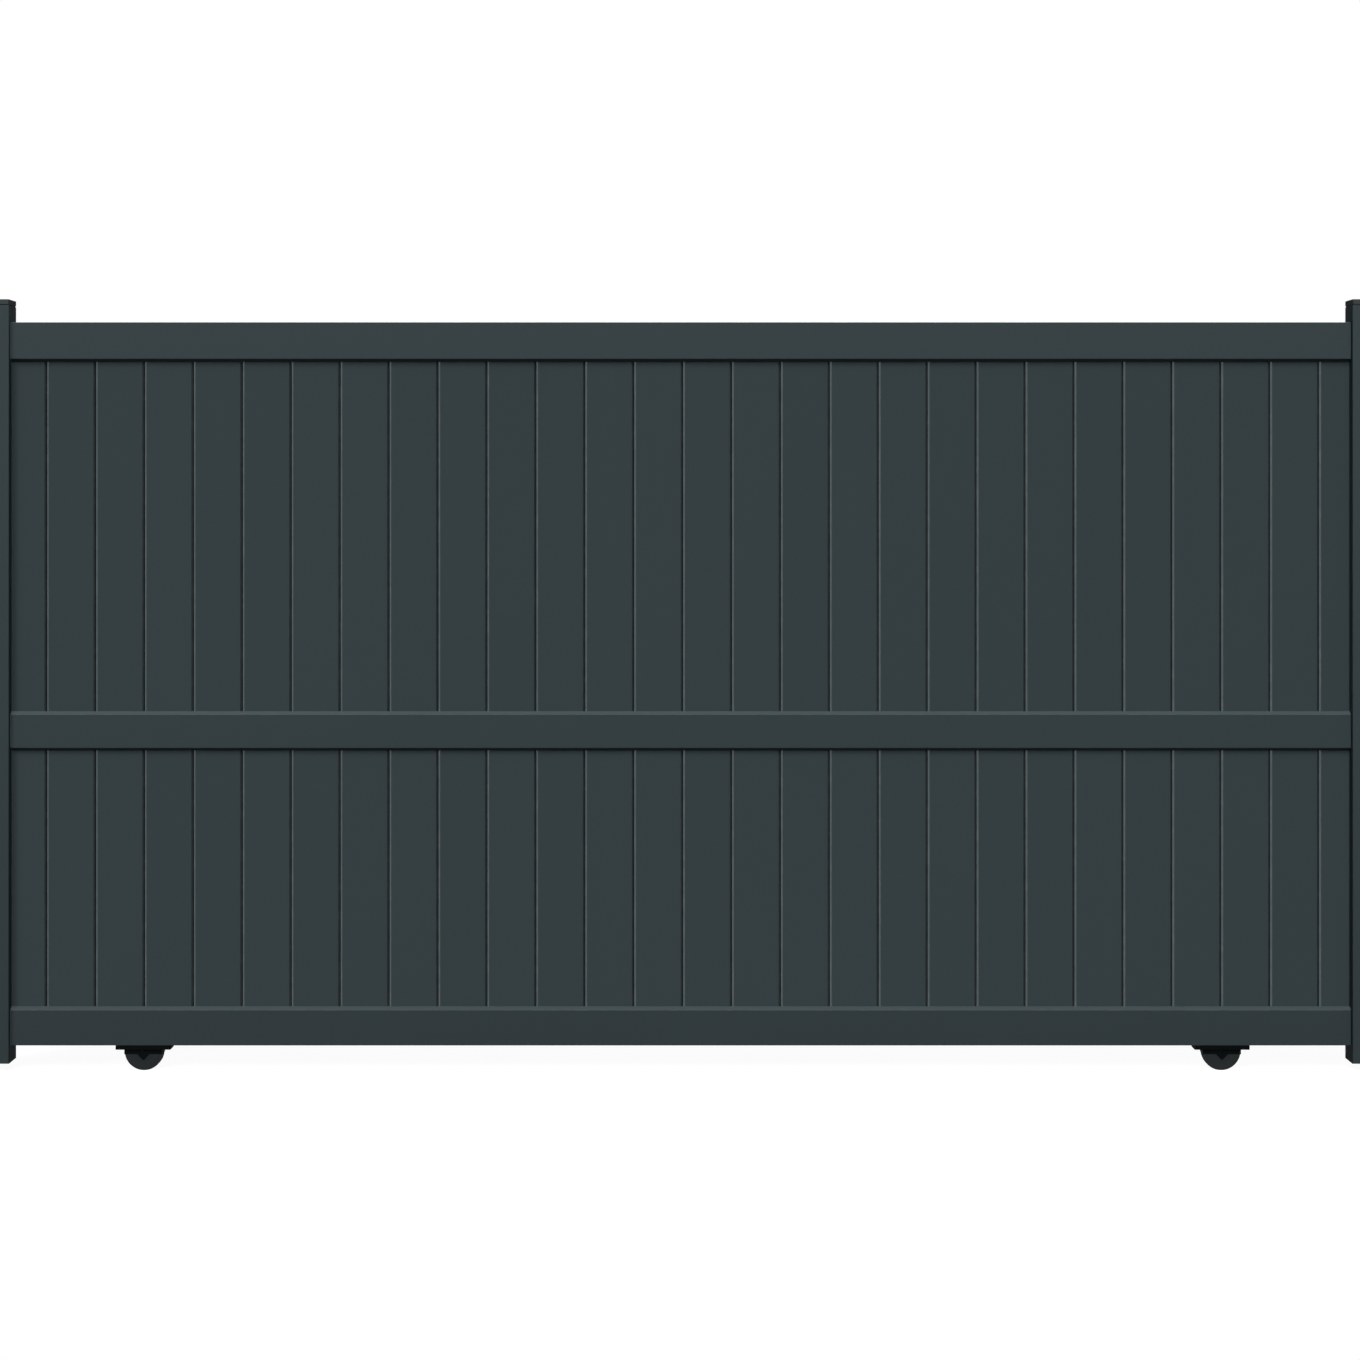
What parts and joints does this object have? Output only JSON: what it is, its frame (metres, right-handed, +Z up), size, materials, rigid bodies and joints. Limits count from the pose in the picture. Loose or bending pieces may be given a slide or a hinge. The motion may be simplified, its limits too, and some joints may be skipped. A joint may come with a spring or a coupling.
{
  "type": "sliding driveway gate",
  "caption": "Solid sliding gate leaf: upright V-jointed boards between square stiles and rails, rolling on grooved wheels recessed under the bottom rail.",
  "frame": {"origin": "middle of the left stile's outer face, the face that closes on the gate post, at mid depth of the leaf", "axes": "+X along the leaf from the closing stile to the tail stile, +Y from the street side to the back, +Z up"},
  "size_m": [2.927, 0.08, 1.593],
  "materials": {
    "anthracite_coat": "satin",
    "cap_plastic": "matte",
    "plug_plastic": "matte",
    "black_carrier": "satin",
    "plated_steel": "satin",
    "wheel_coat": "satin"
  },
  "bodies": {
    "leaf": {"bottom_rail": "anthracite_coat", "middle_rail": "anthracite_coat", "top_rail": "anthracite_coat", "lower_left_end_board": "anthracite_coat", "lower_boards": "anthracite_coat", "lower_right_end_board": "anthracite_coat", "upper_left_end_board": "anthracite_coat", "upper_boards": "anthracite_coat", "upper_right_end_board": "anthracite_coat", "left_stile": "anthracite_coat", "left_stile_cap": "cap_plastic", "left_foot_plug": "plug_plastic", "right_stile": "anthracite_coat", "right_stile_cap": "cap_plastic", "right_foot_plug": "plug_plastic", "left_wheel_carrier": "black_carrier", "left_axle": "plated_steel", "right_wheel_carrier": "black_carrier", "right_axle": "plated_steel"},
    "left_wheel_set": {"left_wheel": "wheel_coat", "left_bearing": "plated_steel"},
    "right_wheel_set": {"right_wheel": "wheel_coat", "right_bearing": "plated_steel"}
  },
  "joints": [
    {"name": "left_wheel_spin", "type": "hinge", "parent": "leaf", "child": "left_wheel_set", "pos_m": [0.3535, 0, -0.75905], "axis": [0, 1, 0], "continuous": true},
    {"name": "right_wheel_spin", "type": "hinge", "parent": "leaf", "child": "right_wheel_set", "pos_m": [2.5815, 0, -0.75905], "axis": [0, 1, 0], "continuous": true}
  ]
}
